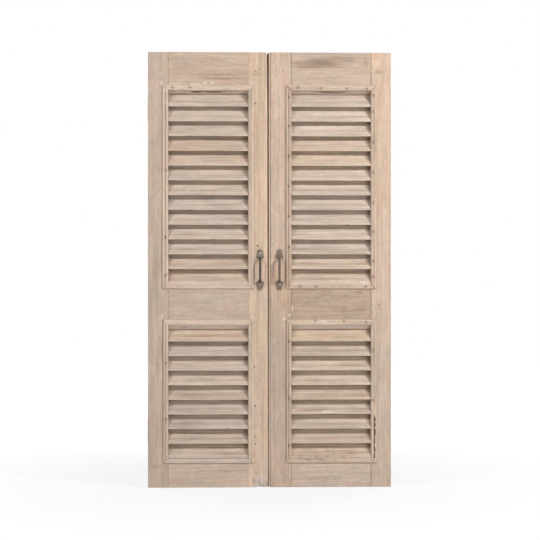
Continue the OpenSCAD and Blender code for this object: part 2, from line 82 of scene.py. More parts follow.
# %% Joint lines and the front face
MM = 0.001
SIDES = ("left", "right")
face_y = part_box("left_top_rail")[0].y
joint_xs = sorted(
    edge for side in SIDES for edge in (
        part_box(f"{side}_upper_hinge_bead")[side == "left"].x,
        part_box(f"{side}_upper_meeting_bead")[side == "right"].x,
    )
)
print("front face at", round(face_y / MM, 1), "mm, joints at", [round(x / MM, 1) for x in joint_xs])

# %% [markdown]
# ## The camera
#
# The photograph looks straight at the middle of the pair from far away, so upright lines stay upright and the two
# leaves look equally wide. A long lens at five metres gives that. The picture is 540 pixels square and one pixel
# covers 3.218 mm of the front face, so the lens follows from the width of the view. The camera stands 150 mm left of
# the middle and turns back to it, because straight on it would look through the narrow play beside the lip of the
# right leaf, and the photograph shows a dark gap there.

# %% Camera
PICTURE_PX, PIXEL = 540, 3.218 * MM
VIEW_DISTANCE = 5.0
ASIDE = -150 * MM
CENTRE_X, CENTRE_Z = 0.8 * MM, -0.6 * MM
lens = bpy.data.cameras.new("photo_camera")
lens.sensor_width = 36
lens.lens = lens.sensor_width * VIEW_DISTANCE / (PICTURE_PX * PIXEL)
camera = bpy.data.objects.new("photo_camera", lens)
camera.location = (CENTRE_X + ASIDE, face_y - VIEW_DISTANCE, CENTRE_Z)
camera.rotation_euler = (math.radians(90), 0, math.atan2(ASIDE, VIEW_DISTANCE))
bpy.context.collection.objects.link(camera)
bpy.context.scene.camera = camera
print("lens", round(lens.lens, 1), "mm at", VIEW_DISTANCE, "m")

# %% [markdown]
# ## A merged copy of a CAD solid
#
# The frame's meshes are loose triangles. A copy is merged at its doubled corners, and the triangles of each flat side
# are dissolved into one face, so that the next tools find whole edges to round and whole sides to slice.

# %% Copy a solid
SAME_PLACE = 0.001 * MM


def solid_copy(node):
    """A clean copy of a CAD solid, ready to be worn."""
    bm = bmesh.new()
    bm.from_mesh(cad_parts[node].data)
    bmesh.ops.remove_doubles(bm, verts=bm.verts, dist=SAME_PLACE)
    bmesh.ops.dissolve_limit(bm, angle_limit=math.radians(1), verts=bm.verts, edges=bm.edges)
    return bm


trial = solid_copy("left_top_rail")
print("a rail's copy has", len(trial.faces), "faces")
trial.free()

# %% [markdown]
# ## Rounding and slicing a board
#
# A planed board that has hung outside for decades has no sharp arris left. The long edges of its box are found by
# place and bevelled. Then planes slice the board into a grid, because only where there are corners can the wear
# below push the surface back, and only there can a map of dirt or paint be stored.

# %% Round and slice
ARRIS = 1.3 * MM
ON_WALL = 0.02 * MM


def arrises(bm, low, high):
    """The edges that lie along the edges of a box."""
    found = []
    for edge in bm.edges:
        sides = 0
        for axis in range(3):
            for wall in (low[axis], high[axis]):
                sides += all(abs(v.co[axis] - wall) < ON_WALL for v in edge.verts)
        if sides == 2:
            found.append(edge)
    return found


def round_arrises(bm, low, high):
    bmesh.ops.bevel(bm, geom=arrises(bm, low, high), offset=ARRIS, offset_type="OFFSET", segments=2,
                    profile=0.5, affect="EDGES", clamp_overlap=True, material=-1)


def slice_at(bm, axis, places):
    """Cuts the mesh by planes across one axis, without parting it."""
    across = Vector([float(i == axis) for i in range(3)])
    for place in places:
        bmesh.ops.bisect_plane(bm, geom=bm.verts[:] + bm.edges[:] + bm.faces[:], dist=1e-7,
                               plane_co=across * place, plane_no=across)


def slice_evenly(bm, axis, start, stop, step):
    """Cuts every step or so, and once beside each end, so that wear on an arris stays beside it."""
    count = max(1, round((stop - start) / step))
    slice_at(bm, axis, [start + (stop - start) * i / count for i in range(1, count)])
    slice_at(bm, axis, [start + 2 * ARRIS, stop - 2 * ARRIS])


print("arris", ARRIS / MM, "mm")

# %% [markdown]
# ## Six maps of wear
#
# Old wood isn't evenly old. Six maps are stored on the corners of each mesh, and the finishes read them: the tone of
# this piece of timber, how far the weather has greyed it, bare worn edges, grime in joints and holes together with
# painted shade in gaps, cracks and corners, flakes of paint, and brown stain. A picture texture could hold the same,
# but maps on the mesh need no unwrapping and follow the wear exactly. The spots are given in millimetres on the front:
# x, z, half width, half height. They don't reach the back. A few shades change the tone and the grey of the wood
# itself, right through, and one of them is painted light that makes the shaded lip of the right leaf paler.

# %% Maps of wear
MAPS = ("tone", "grey", "worn", "grime_and_shade", "paint", "stain")
SPOT_DEPTH, SPOT_END = 30 * MM, 6
HOLE_DEPTH = 4 * MM
NAIL_HOLES = [
    (-47.5, 639, 4.4), (-34.6, 645.5, 3.4), (-45.9, 536, 4.2), (-39.4, 77.6, 5), (-50.7, -230, 3.4),
    (-49.1, -313, 4.4), (-46.8, -438, 4.8), (-44.9, -503, 3), (-46.5, -537, 3.8), (-45.9, -561, 4.2), (330, 656, 3.4),
]
BRADS = [
    (333, 562), (333, 510), (333, 411), (333, 314), (333, 216), (333, 123), (333, 28), (333, -22), (62, 555),
    (62, 462), (62, 366), (62, 269), (62, 172), (62, 73), (-334, 320), (-334, 105), (-334, -17), (97, -53), (149, -54),
    (310, -54), (-313, 586), (-257, 586), (91, 586), (165, 584), (249, 584), (313, 584), (146, -164), (239, -165),
    (310, -169), (62, -230), (62, -415), (62, -566), (333, -260), (333, -420), (-334, -300), (-334, -480),
]
PAINT_SPOTS = [
    (-343, 627, 4, 7), (-348, 600, 5, 8), (-334, 578, 4, 8), (-318, 657, 3, 6), (-312, 649, 5, 2), (-304, 655, 3, 5),
    (-301, 598.5, 30, 2.2), (-240, 597, 22, 3.5), (-208, 600, 9, 3), (-186, 601, 8, 3), (-296, 620, 12, 2, 0.6),
    (-278, 612, 10, 2, 0.6), (-263, 256, 4, 3), (-70, 57, 3, 5), (-345, -150, 4, 5), (-58, -156, 5, 5),
    (-326, -197, 5, 5), (-110, -155, 18, 3, 0.6), (46, -159, 5, 4), (72, -124, 4, 9), (64, -146, 5, 6),
    (78, -215, 3, 5), (78, -262, 3, 4), (78, -307, 3, 6), (78, -355, 4, 6), (78, -394, 4, 5), (77, -452, 4, 4),
    (66, -388, 2, 16), (92, 568, 14, 4), (305, -42, 14, 3), (170, -167, 24, 3), (188, -458, 28, 3.5),
]
STAIN_SPOTS = [
    (165, 667, 66, 15), (215, 682, 70, 8, 0.7), (140, 657, 60, 6, 0.9), (255, 677, 28, 8, 0.8), (310, 664, 9, 18, 0.7),
    (286, -70, 11, 4), (241, -128, 7, 3.5), (297, -128, 12, 4), (352, 639, 13, 6, 0.8), (352, -123, 6, 5, 0.5),
    (-362, -632, 24, 3), (-130, -645, 70, 2), (-120, -592, 60, 3, 0.7), (100, -601, 6, 3), (122, -611, 9, 3),
    (152, -604, 7, 3), (166, -612, 11, 3), (187, -603, 5, 3), (240, -604, 5, 3), (208, -614, 9, 2),
    (130, -582, 16, 4, 0.5), (152, -592, 10, 4, 0.5), (186, -584, 9, 7, 0.5), (204, -588, 6, 6, 0.4),
    (262, -590, 16, 4, 0.5), (150, -452, 60, 4, 0.6), (280, -455, 36, 3, 0.6), (84, -138, 8, 8, 0.4),
    (-176, 628, 70, 2), (-150, 616, 60, 2), (-40, 630, 14, 5, 0.6),
] + [(x, z, 4.5, 5.5) for x, z in BRADS]
GRIME_AND_SHADOW_SPOTS = [
    (-50.7, -678.7, 4, 6, 0.8), (-41, -684, 3, 7, 0.5), (-31, -688, 3.5, 8, 0.6), (-25, -695.5, 5, 4, 0.8),
    (-13, -684, 4, 6, 0.6), (-9, -692, 4, 5, 0.9), (168, 667, 48, 10, 0.35), (150, 656, 50, 4, 0.3),
    # Painted shadow: the spot at x 2.9 draws a dark line beside the lip of the right leaf, where shade falls.
    (2.9, 380, 1.3, 420, 0.42),
] + [(x, z, 0.5 * size, 0.5 * size) for x, z, size in NAIL_HOLES]
TONES_AND_PAINTED_LIGHT = [
    (36, -270, 34, 190, -0.75, 0.1), (36, -60, 34, 110, 0.0, -0.35), (360, -350, 34, 190, -0.4, 0.1),
    # Painted light: the spot at x -1.6 makes the recessed lip of the right leaf paler, as if it were not in shade.
    (-30, -684, 28, 20, -0.3, 0.9), (-1.6, 0, 2.2, 1500, 1.0, 0.0), (-9.5, 300, 2.5, 420, 1.2, 0.0),
]


def spots_at(co, spots):
    """How strongly the nearest spot marks a place on the front. A fifth number is a spot's own strength."""
    best = 0.0
    for x, z, half_w, half_h, *strength in spots:
        away = ((co.x / MM - x) / half_w) ** 2 + ((co.z / MM - z) / half_h) ** 2
        if away < SPOT_END:
            best = max(best, math.exp(-away) * (strength[0] if strength else 1.0))
    return best


def add_maps(bm, tones, greys=(0, 0)):
    """Gives a mesh its six maps. Tone and grey are given at the foot and at the head of the leaves."""
    maps = {name: bm.verts.layers.float.new(name) for name in MAPS}
    for v in bm.verts:
        share = (v.co.z - cad_low.z) / (cad_high.z - cad_low.z)
        v[maps["tone"]] = tones[0] + (tones[1] - tones[0]) * share
        v[maps["grey"]] = greys[0] + (greys[1] - greys[0]) * share
        for *spot, tone, grey in TONES_AND_PAINTED_LIGHT:
            v[maps["tone"]] += tone * spots_at(v.co, [spot])
            v[maps["grey"]] += grey * spots_at(v.co, [spot])
        if v.co.y > face_y + SPOT_DEPTH:
            continue
        grime_and_shade = spots_at(v.co, GRIME_AND_SHADOW_SPOTS)
        v[maps["grime_and_shade"]] = 1.0 if grime_and_shade > 0.2 and v.co.y > face_y + HOLE_DEPTH / 2 else grime_and_shade
        v[maps["paint"]] = spots_at(v.co, PAINT_SPOTS)
        v[maps["stain"]] = spots_at(v.co, STAIN_SPOTS)
    return maps


print(len(PAINT_SPOTS), "paint spots and", len(STAIN_SPOTS), "stains")

# %% [markdown]
# ## Wearing a board
#
# Wear takes wood away, so every corner near an arris is pushed inwards, by a slow noise for the long waves and a quick
# one for the chips. The worn arris goes pale. Where it belongs to a joint it gathers dirt instead, which draws the fine
# dark lines between rails and stiles of the right leaf. On the left leaf the joints closed up, and hardly show. The
# foot of the left meeting stile has rotted a little, so its face sinks there and its end is ragged.

# %% Wear a board
ROT_SPOT, ROT_DEPTH = (-28, -694, 24, 16), 3.5 * MM
JOINT_DIRT = (0.12, 0.12, 0.5, 0.9)
WAVES_PER_M, CHIPS_PER_M, ROT_PER_M = 22, 75, 90
SMOOTH_UP_TO = math.radians(38)


def weather(bm, low, high, seed, nibble, tones, greys=(0, 0)):
    """Paints the maps on a board and wears back its edges by about nibble."""
    maps = add_maps(bm, tones, greys)
    drift = Vector((seed * 3.1, seed * 1.7, seed * 2.3))
    for v in bm.verts:
        walls = sorted(
            min((abs(v.co[axis] - low[axis]), axis, 1), (abs(high[axis] - v.co[axis]), axis, -1))
            for axis in range(3)
        )
        ragged = noise.noise(Vector((v.co.x, 0, v.co.z)) * ROT_PER_M)
        rotten = spots_at(v.co, [ROT_SPOT]) * max(0.0, 0.6 + ragged)
        if abs(v.co.y - face_y) < 1 * MM:
            v.co.y += rotten * ROT_DEPTH
        if v.co.z - low.z < 2 * ARRIS:
            v.co.z += rotten * ROT_DEPTH
        edge = 1 - (walls[0][0] + walls[1][0]) / (1.4 * ARRIS)
        if edge <= 0:
            continue
        dirt_and_shade = [share for x, share in zip(joint_xs, JOINT_DIRT) if abs(v.co.x - x) < 2 * ARRIS]
        v[maps["grime_and_shade" if dirt_and_shade else "worn"]] = edge * (dirt_and_shade[0] if dirt_and_shade else 1)
        wave = 0.5 + 0.5 * noise.noise(v.co * WAVES_PER_M + drift)
        chip = max(0.0, noise.noise(v.co * CHIPS_PER_M + drift) - 0.38)
        bite = edge * nibble * (wave + 5 * chip) * (0.4 if dirt_and_shade else 1)
        for _, axis, inwards in walls[:2]:
            v.co[axis] += inwards * bite


def as_piece(name, bm, body, slot, finish, *nodes):
    """Turns a finished bmesh into a piece that rides on a body and stands for CAD nodes."""
    mesh = bpy.data.meshes.new(name)
    bm.to_mesh(mesh)
    bm.free()
    if "custom_normal" in mesh.attributes:
        mesh.attributes.remove(mesh.attributes["custom_normal"])
    for polygon in mesh.polygons:
        polygon.material_index = 0
    mesh.shade_smooth()
    mesh.set_sharp_from_angle(angle=SMOOTH_UP_TO)
    mesh.materials.append(finish)
    piece = bpy.data.objects.new(name, mesh)
    bpy.context.collection.objects.link(piece)
    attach(piece, body)
    if nodes:
        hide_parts(*nodes)
    return piece


def drill(bm, x, z, size):
    """Sinks an old nail hole into the front face: eight cuts mark it out, then its floor is pushed in."""
    middle = Vector((x * MM, face_y, z * MM))
    for turn in range(8):
        out = Vector((math.cos(turn * math.pi / 4), 0, math.sin(turn * math.pi / 4)))
        near = [f for f in bm.faces if f.normal.y < -0.9 and (f.calc_center_median() - middle).length < 12 * MM]
        geom = near + list({e for f in near for e in f.edges}) + list({v for f in near for v in f.verts})
        bmesh.ops.bisect_plane(bm, geom=geom, dist=1e-7, plane_co=middle + out * size * MM / 2, plane_no=out)
        bm.normal_update()
    reach = 0.56 * size * MM
    hole = [f for f in bm.faces if f.normal.y < -0.9 and all((v.co - middle).length < reach for v in f.verts)]
    bmesh.ops.inset_region(bm, faces=hole, thickness=0.3 * MM, depth=-HOLE_DEPTH, use_even_offset=True)


print("a piece is worn, then handed to its body")

# %% [markdown]
# ## One way to add a node
#
# Every finish below is a small graph. One function adds a node, sets it up and joins its inputs, and another turns
# the sRGB colours that people read into the linear ones that the renderer wants.

# %% Node helper and colours
def linear(code):
    """An sRGB hex colour as linear red, green, blue and alpha."""
    parts = [int(code[i:i + 2], 16) / 255 for i in (1, 3, 5)]
    return [c / 12.92 if c <= 0.04045 else ((c + 0.055) / 1.055) ** 2.4 for c in parts] + [1.0]


def put(tree, kind, inputs, stops=(), **settings):
    """Adds a node. An input is a link if it gets a socket, and a constant if not."""
    node = tree.nodes.new(kind)
    for key, value in settings.items():
        setattr(node, key, value)
    for i, (place, colour) in enumerate(stops):
        ramp = node.color_ramp.elements
        stop = ramp[i] if i < 2 else ramp.new(place)
        stop.position = place
        stop.color = linear(colour)
    for key, value in inputs.items():
        if isinstance(value, bpy.types.NodeSocket):
            tree.links.new(value, node.inputs[key])
        else:
            node.inputs[key].default_value = value
    return node


def new_finish(name):
    """An empty material: its node tree, and its shader to fill in."""
    finish = bpy.data.materials.new(name)
    finish.use_nodes = True
    return finish, finish.node_tree, finish.node_tree.nodes["Principled BSDF"]


print("pale straw is", [round(c, 3) for c in linear("#DCC5AD")])

# %% [markdown]
# ## Bleached, weathered wood
#
# The timber is an open-grained hardwood that was stripped and bleached. It is matt, because there is no varnish, and
# its colour runs in long streaks along the grain between straw, rose and grey. On top of the streaks lie thin darker
# grain lines, soft rose and grey clouds where rain got in, a small mottle, and the six maps. Grain lines are about
# 1.5 mm apart on such wood. That is half a pixel here, so they are drawn at 4.5 mm to show at all.

# %% Wood finish
UPRIGHT, LEVEL = 2, 0


def bleached_wood(name, along, streaks, streak_mm, seed, mottled=1.0):
    """Weathered wood whose grain runs along one axis, with colours for its streaks from dark to pale."""
    finish, tree, shader = new_finish(name)
    place = put(tree, "ShaderNodeTexCoord", {}).outputs["Object"]

    def stretched(across_mm, along_mm):
        size = [1 / (across_mm * MM)] * 3
        size[along] = 1 / (along_mm * MM)
        return put(tree, "ShaderNodeMapping", {"Vector": place, "Location": (seed, seed * 1.3, seed * 0.7),
                                               "Scale": size}).outputs["Vector"]

    def chart(name):
        return put(tree, "ShaderNodeAttribute", {}, attribute_name=name).outputs["Fac"]

    def blend(share, under, over, mode="MIX"):
        return put(tree, "ShaderNodeMix", {0: share, 6: under, 7: over}, data_type="RGBA",
                   blend_type=mode).outputs[2]

    def sums(operation, *values):
        return put(tree, "ShaderNodeMath", dict(enumerate(values)), operation=operation).outputs[0]

    def span(value, low, high, to_low, to_high):
        return put(tree, "ShaderNodeMapRange", {0: value, 1: low, 2: high, 3: to_low, 4: to_high}).outputs[0]

    def cloudy(across_mm, along_mm, detail, roughness, distortion=0.0):
        return put(tree, "ShaderNodeTexNoise", {
            "Vector": stretched(across_mm, along_mm), "Scale": 1.0, "Detail": detail, "Roughness": roughness,
            "Distortion": distortion}).outputs["Fac"]

    streak = cloudy(streak_mm, 330, 3.0, 0.5, 0.6)
    grain = cloudy(4.5, 120, 6.0, 0.65)
    blotch = cloudy(34, 80, 4.0, 0.6)
    mottle = cloudy(7, 16, 3.0, 0.6)
    cloud = cloudy(30, 110, 3.0, 0.6, 0.4)
    flake = cloudy(3.5, 7, 5.0, 0.65)
    rings = put(tree, "ShaderNodeTexWave", {"Vector": stretched(52, 420), "Scale": 1.0, "Distortion": 9.0,
                                            "Detail": 3.0, "Detail Scale": 0.7, "Detail Roughness": 0.55},
                bands_direction="Z" if along == LEVEL else "X").outputs["Fac"]

    colour = put(tree, "ShaderNodeValToRGB", {"Fac": streak}, stops=streaks).outputs["Color"]
    colour = blend(span(grain, 0.38, 0.52, 0.32, 0.0), colour, linear("#A0856D"))
    colour = blend(span(rings, 0.0, 0.16, 0.3, 0.0), colour, linear("#AE937B"))
    colour = blend(span(blotch, 0.5, 0.66, 0.0, 0.55 * mottled), colour, linear("#C9A797"))
    colour = blend(span(blotch, 0.5, 0.34, 0.0, 0.55 * mottled), colour, linear("#B7AA9B"))
    colour = blend(span(mottle, 0.52, 0.68, 0.0, 0.5 * mottled), colour, linear("#CCA998"))
    colour = blend(span(mottle, 0.48, 0.32, 0.0, 0.5 * mottled), colour, linear("#D8CBAA"))
    colour = blend(span(flake, 0.62, 0.78, 0.0, 0.3), colour, linear("#8F745D"))
    colour = blend(sums("MULTIPLY", chart("stain"), span(grain, 0.3, 0.65, 0.85, 0.45)), colour, linear("#8E6E58"))
    colour = put(tree, "ShaderNodeHueSaturation", {
        "Value": sums("MULTIPLY_ADD", chart("tone"), 0.16, span(cloud, 0.3, 0.7, 0.91, 1.09)),
        "Saturation": sums("MULTIPLY_ADD", chart("grey"), -0.5, 1.0), "Color": colour}).outputs["Color"]
    colour = blend(sums("MULTIPLY", chart("worn"), span(flake, 0.3, 0.7, 0.1, 0.6)), colour, linear("#E0CFBC"))
    peeled = span(sums("ADD", chart("paint"), span(flake, 0.25, 0.75, -0.62, 0.3)), 0.24, 0.42, 0.0, 0.75)
    colour = blend(peeled, colour, linear("#ECDDD0"))
    # Grime, and painted shade in gaps, cracks and corners, turn the wood deep brown.
    colour = blend(sums("MULTIPLY", chart("grime_and_shade"), span(flake, 0.25, 0.7, 0.95, 0.6)), colour, linear("#5B4433"))

    height = sums("ADD", sums("MULTIPLY", grain, 0.7), sums("MULTIPLY", peeled, 0.25))
    dents = put(tree, "ShaderNodeBump", {"Height": height, "Strength": 0.55, "Distance": 0.0012})
    tree.links.new(colour, shader.inputs["Base Color"])
    tree.links.new(span(grain, 0.3, 0.7, 0.92, 0.74), shader.inputs["Roughness"])
    tree.links.new(dents.outputs["Normal"], shader.inputs["Normal"])
    shader.inputs["Specular IOR Level"].default_value = 0.06
    return finish


stile_finish = bleached_wood("bleached_elm_stiles", UPRIGHT, [
    (0.3, "#C3AB97"), (0.42, "#CFB7A2"), (0.5, "#D6BEA8"), (0.58, "#D4B8A6"), (0.7, "#DAC6AD")], 24, 1.0)
rail_finish = bleached_wood("bleached_elm_rails", LEVEL, [
    (0.3, "#BAA28E"), (0.42, "#C8B09B"), (0.5, "#CFB7A1"), (0.58, "#CDB1A0"), (0.7, "#D2BEA5")], 22, 5.0)
slat_finish = bleached_wood("bleached_elm_slats", LEVEL, [
    (0.3, "#C5AF98"), (0.42, "#D3BEA8"), (0.5, "#DAC5AF"), (0.58, "#D9C0AE"), (0.7, "#DECCB3")], 12, 9.0, 0.6)
BEAD_STREAKS = [(0.3, "#BDA58F"), (0.42, "#CCB49D"), (0.5, "#D6BEA7"), (0.58, "#D5B9A6"), (0.7, "#DBC7AE")]
upright_bead_finish = bleached_wood("bleached_elm_upright_beads", UPRIGHT, BEAD_STREAKS, 9, 13.0)
level_bead_finish = bleached_wood("bleached_elm_level_beads", LEVEL, BEAD_STREAKS, 9, 17.0)
frame_finish = bleached_wood("weathered_elm_frame", UPRIGHT, [
    (0.3, "#9C8671"), (0.42, "#B19A84"), (0.5, "#BFA992"), (0.58, "#BCA28D"), (0.7, "#C4B29A")], 20, 21.0)
print("wood finishes:", [m.name for m in bpy.data.materials if "elm" in m.name])

# %% [markdown]
# ## Stiles and rails
#
# Each leaf has two upright stiles and three rails, joined by pegged tenons. Every board is a worn copy of its solid,
# so the mortises, peg holes and hinge recesses stay where they are. No two boards come from the same tree, so each
# gets its own tone and grey, at its foot and at its head. The left meeting stile carries the holes of an older bolt.
# The edges of the meeting stiles have bowed, so the gap between the leaves widens upwards: each bow is given as heights
# and shifts in millimetres, for the front and for the back of the edge. Painted shade lies deep in the gap, on the side
# of the left meeting stile. A few more cuts hold a thin line of old paint on the left top rail, and a thin painted
# shadow line beside the edge of the right meeting stile.

# %% Boards of the two leaves
GRID, NIBBLE = 6.5 * MM, 0.7 * MM
BOWS = {
    "left_meeting_stile": (1, [(-700, 1.6), (-290, 1.4), (-60, 0.7), (60, 0.5), (290, -0.1), (520, -0.7), (700, -1.7)],
                           [(-700, 0.0), (60, 0.0), (200, 0.6), (700, 0.6)]),
    "right_meeting_stile": (0, [(-700, 0.0), (700, 0.4)], [(-700, 0.0), (700, 0.0)]),
}
PAINT_LINE = [595.5 * MM, 598.5 * MM, 601.5 * MM]
PAINTED_SHADOW_LINE = [1.4 * MM, 4.6 * MM]
BOARDS = {
    "left_hinge_stile": (-0.7, -0.35, 0.3, 0.25), "left_meeting_stile": (0.55, 0.45, 0.05, -0.05),
    "left_top_rail": (0.0, 0.0, 0.1, 0.1), "left_mid_rail": (-0.2, -0.2, 0.35, 0.35),
    "left_bottom_rail": (0.05, 0.05, 0.35, 0.35), "right_hinge_stile": (-0.45, 0.75, 0.3, -0.1),
    "right_meeting_stile": (-0.65, 0.35, 0.2, 0.05), "right_top_rail": (0.1, 0.1, 0.2, 0.2),
    "right_mid_rail": (-0.85, -0.85, 0.0, 0.0), "right_bottom_rail": (0.0, 0.0, 0.45, 0.45),
}


def board_box(node):
    """The visible box of a board: without its tenons, or the lip that closes the gap."""
    low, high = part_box(node)
    if "rail" in node:
        low.x, high.x = joint_xs[:2] if node.startswith("left") else joint_xs[2:]
    if node == "right_meeting_stile":
        low.x = min(v.co.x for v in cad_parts[node].data.vertices if v.co.y < face_y + 0.01 * MM)
    return low, high


def bow_at(bow, z):
    """A bow's shift at a height, on straight lines between its places."""
    for (z0, start), (z1, stop) in zip(bow, bow[1:]):
        if z <= z1:
            return start + (stop - start) * (z - z0) / (z1 - z0)
    return bow[-1][1]


boards = {}
for node in BOARDS:
    bm = solid_copy(node)
    low, high = board_box(node)
    round_arrises(bm, low, high)
    slice_evenly(bm, 0, low.x, high.x, GRID)
    slice_evenly(bm, 2, low.z, high.z, GRID)
    if node == "left_top_rail":
        slice_at(bm, 2, PAINT_LINE)
    # Cuts that hold the painted shadow line beside the lip.
    if node == "right_meeting_stile":
        slice_at(bm, 0, PAINTED_SHADOW_LINE)
    for x, z, size in NAIL_HOLES:
        if low.x < x * MM < high.x and low.z < z * MM < high.z:
            drill(bm, x, z, size)
    if node in BOWS:
        end, front_bow, back_bow = BOWS[node]
        for v in bm.verts:
            if abs(v.co.x - (low, high)[end].x) < 2.1 * ARRIS:
                bow = front_bow if v.co.y < face_y + 2 * ARRIS else back_bow
                v.co.x += bow_at(bow, v.co.z / MM) * MM
    boards[node] = (bm, low, high)
print("sliced boards:", {node: len(board[0].faces) for node, board in boards.items()})

# %% Hand over the boards
for number, (node, (bm, low, high)) in enumerate(boards.items()):
    weather(bm, low, high, number, NIBBLE, BOARDS[node][:2], BOARDS[node][2:])
    # Painted shade: the side of the left meeting stile deep in the gap is painted dark.
    if node == "left_meeting_stile":
        grime_and_shade = bm.verts.layers.float["grime_and_shade"]
        for v in bm.verts:
            if v.co.x > high.x - ARRIS and v.co.y > face_y + 2 * ARRIS:
                v[grime_and_shade] = 1.0
    slot, finish = ("rail_wood", rail_finish) if "rail" in node else ("stile_wood", stile_finish)
    as_piece(f"{node}_board", bm, f"{node.split('_')[0]}_leaf", slot, finish, node)
print("boards:", len(boards))

# %% [markdown]
# ## Slats
#
# A slat is a thin planed board that leans back at 30 degrees, housed in the stiles at both ends. Its lower front edge
# meets the weather first: it is wavy, chipped and paler than the face, more so on the left leaf. The copy is cut into
# a grid that follows each slat, and the lower edge is pushed up its own slope, so the face stays flat. A darker line
# runs along the face. Where the slats run into the stiles, their upper parts are painted dark as shade, given as a
# share and a reach for both ends. The backs, which no sun and no brush could reach, kept their brown; low down they are
# darker still, as painted shade that also dims the light they throw into the gaps between the slats.

# %% Slat banks
BANKS = {"upper": 13, "lower": 9}
BANK_TONES = {"left_upper": (0.0, 0.0), "left_lower": (-0.3, -0.05), "right_upper": (0.2, 0.0),
              "right_lower": (-0.15, -0.2)}
RAGGEDNESS = {"left": 1.0, "right": 0.4}
LEAN = math.radians(30)
SLAT_W, SLAT_ARRIS = 59 * MM, 0.9 * MM
RISE = SLAT_W * math.cos(LEAN)
SLOPE = Vector((0, math.sin(LEAN), math.cos(LEAN)))
SLAT_CUTS = (4, 9, 13, 16.5, 20, 24, 31)
DARK_LINE_H, DARK_LINE_HALF = 16.5, 3.5
END_SHADE_FROM = 24 * MM
LEFT_END_SHADE, RIGHT_END_SHADE = (0.3, 7 * MM), (0.65, 11 * MM)
NOTCHES = [
    (-159, 524, 18, 1.8), (-256, 195, 5, 2.2), (-183, 99, 6, 1.6), (-137, -510, 4, 3.4), (-278, -510, 22, 1.4),
    (186, -455, 26, 1.6), (-255, 430, 6, 1.5), (120, 330, 9, 1.2), (250, 150, 7, 1.4), (205, -300, 8, 1.2),
]


def notch_at(co):
    """How deep a chip in a slat's lower edge is at this place."""
    return sum(
        depth * MM * math.exp(-(((co.x / MM - x) / half) ** 2))
        for x, z, half, depth in NOTCHES if abs(co.z / MM - z) < 16
    )


def wear_slats(bm, low, count, pitch, seed, raggedness, bank):
    """Wears the lower edges of a bank and gives each slat its own tone."""
    maps = add_maps(bm, (0, 0))
    left, right = joint_xs[:2] if low.x < 0 else joint_xs[2:]
    dice = random.Random(seed)
    tones = [dice.uniform(-0.4, 0.2) for _ in range(count)]
    greys = [dice.uniform(0.1, 0.5) for _ in range(count)]
    for v in bm.verts:
        up_slope = v.co.z - low.z - (v.co.y - low.y) / math.tan(LEAN)
        number = min(count - 1, max(0, round((up_slope + 9 * MM) / pitch)))
        height = v.co.z - low.z - number * pitch
        depth = v.co.y - low.y - height * math.tan(LEAN)
        v[maps["tone"]] = tones[number] + bank[0]
        v[maps["grey"]] = greys[number] + bank[1]
        # The backs keep their brown; below 26 mm they are darker still, as painted shade that dims the light thrown
        # into the gaps.
        if depth > 4 * MM:
            v[maps["tone"]] -= 3.2 if height < 26 * MM else 1.9
            v[maps["grey"]] += 0.3
        # A darker line runs along the face of each slat.
        elif depth < 2 * MM:
            darker = 0.4 + 0.45 * noise.noise(Vector((v.co.x * 9, number * 2.3, seed)))
            v[maps["stain"]] += darker * math.exp(-((height / MM - DARK_LINE_H) / DARK_LINE_HALF) ** 2)
        # Painted shade: the upper parts of the slats are darkened where they run into the stiles, more on the right.
        if height > END_SHADE_FROM:
            left_end = LEFT_END_SHADE[0] * math.exp(-((v.co.x - left) / LEFT_END_SHADE[1]) ** 2)
            right_end = RIGHT_END_SHADE[0] * math.exp(-((right - v.co.x) / RIGHT_END_SHADE[1]) ** 2)
            v[maps["grime_and_shade"]] = max(v[maps["grime_and_shade"]], left_end, right_end)
        if height < 0.06 * RISE:
            wave = noise.noise(Vector((v.co.x * 14, number * 3.7, seed)))
            quick = noise.noise(Vector((v.co.x * 60, number * 5.1, seed)))
            lift = max(0.0, 0.4 + raggedness * (0.7 * wave + 0.4 * quick)) * MM + notch_at(v.co)
            v.co += SLOPE * lift
            v[maps["worn"]] = 0.9 if v.co.y < low.y + 6 * MM else 0.2
        elif height > 0.97 * RISE and number == count - 1:
            v.co -= SLOPE * max(0.0, 0.3 + 1.6 * noise.noise(Vector((v.co.x * 30, seed, 2.0)))) * MM


for side in SIDES:
    for bank, count in BANKS.items():
        node = f"{side}_{bank}_slats"
        bm = solid_copy(node)
        low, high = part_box(node)
        pitch = (high.z - low.z - RISE) / (count - 1)
        long_edges = [edge for edge in bm.edges if edge.calc_length() > 200 * MM]
        bmesh.ops.bevel(bm, geom=long_edges, offset=SLAT_ARRIS, offset_type="OFFSET", segments=2, profile=0.5,
                        affect="EDGES", clamp_overlap=True, material=-1)
        slice_evenly(bm, 0, low.x, high.x, GRID)
        slice_at(bm, 2, [low.z + i * pitch + up * MM for i in range(count) for up in SLAT_CUTS])
        seed = len(node) + count + (side == "left")
        wear_slats(bm, low, count, pitch, seed, RAGGEDNESS[side], BANK_TONES[f"{side}_{bank}"])
        piece = as_piece(f"{node}_worn", bm, f"{side}_leaf", "slat_wood", slat_finish, node)
        print(piece.name, len(piece.data.polygons), "faces, pitch", round(pitch / MM, 2), "mm")

# %% [markdown]
# ## Painted fillets
#
# Under the top of each opening a thin fillet closes the space above the first slat. Nobody could reach it to strip it,
# so it still wears its old paint. A cube becomes the fillet: its back edges move onto the slope of the slat, it is
# sliced, and its lower edge is made wavy. The upper fillets have sagged in places, which leaves a gap above them, and
# there their top is painted dark as shade.

# %% Fillets
FILLET_H = {"upper": 8 * MM, "lower": 12 * MM}
FILLET_T, SAG = 2.5 * MM, 4 * MM
SAGS = {"left_upper": [(-236, 15), (-182, 24)], "right_upper": [(200, 40)]}


def sag_at(x, places):
    """How far a fillet has sagged here, from 0 to 1. Each place is a middle and a half width in millimetres."""
    return max((math.exp(-(((x / MM - middle) / half) ** 4)) for middle, half in places), default=0.0)


